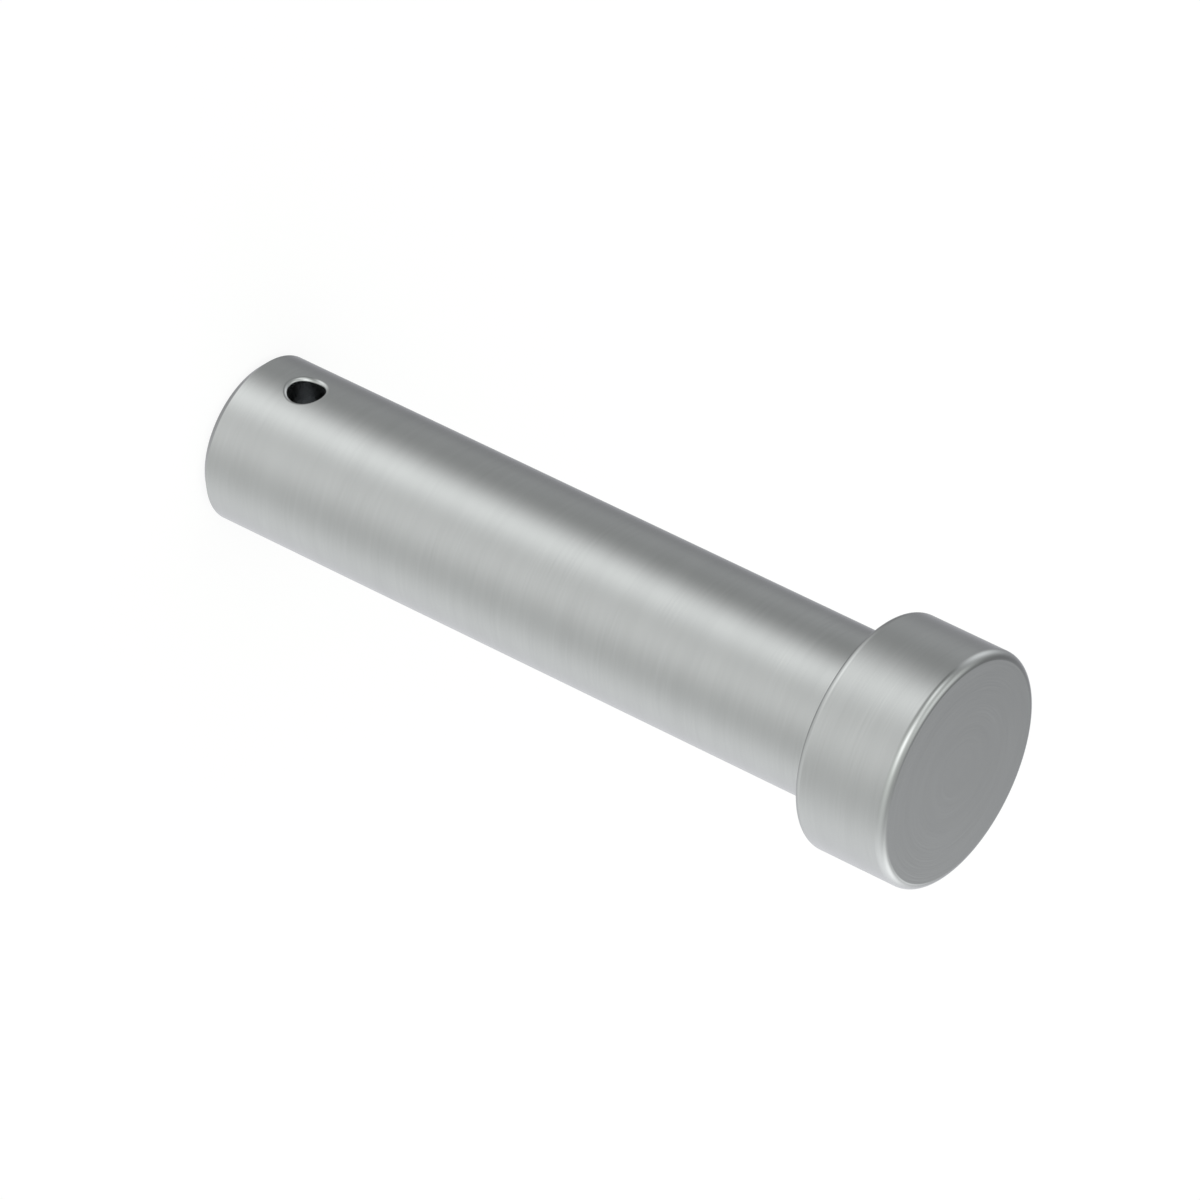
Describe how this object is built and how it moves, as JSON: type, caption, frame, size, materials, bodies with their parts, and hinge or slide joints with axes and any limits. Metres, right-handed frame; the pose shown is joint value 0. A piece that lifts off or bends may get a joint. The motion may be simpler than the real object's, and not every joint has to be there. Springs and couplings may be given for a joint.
{
  "type": "clevis pin",
  "caption": "Clevis pin: a smooth round shank with a thick cylindrical head and a cross hole for a split pin near the chamfered free end.",
  "frame": {"origin": "centre of the flat face at the free end, on which the pin stands", "axes": "+Z along the pin from the free end to the head, +Y along the cross hole"},
  "size_m": [0.0282, 0.0282, 0.098],
  "materials": {
    "bright_steel": "turned and finely ground, satin"
  },
  "bodies": {
    "root": {"clevis_pin": "bright_steel"}
  },
  "joints": []
}
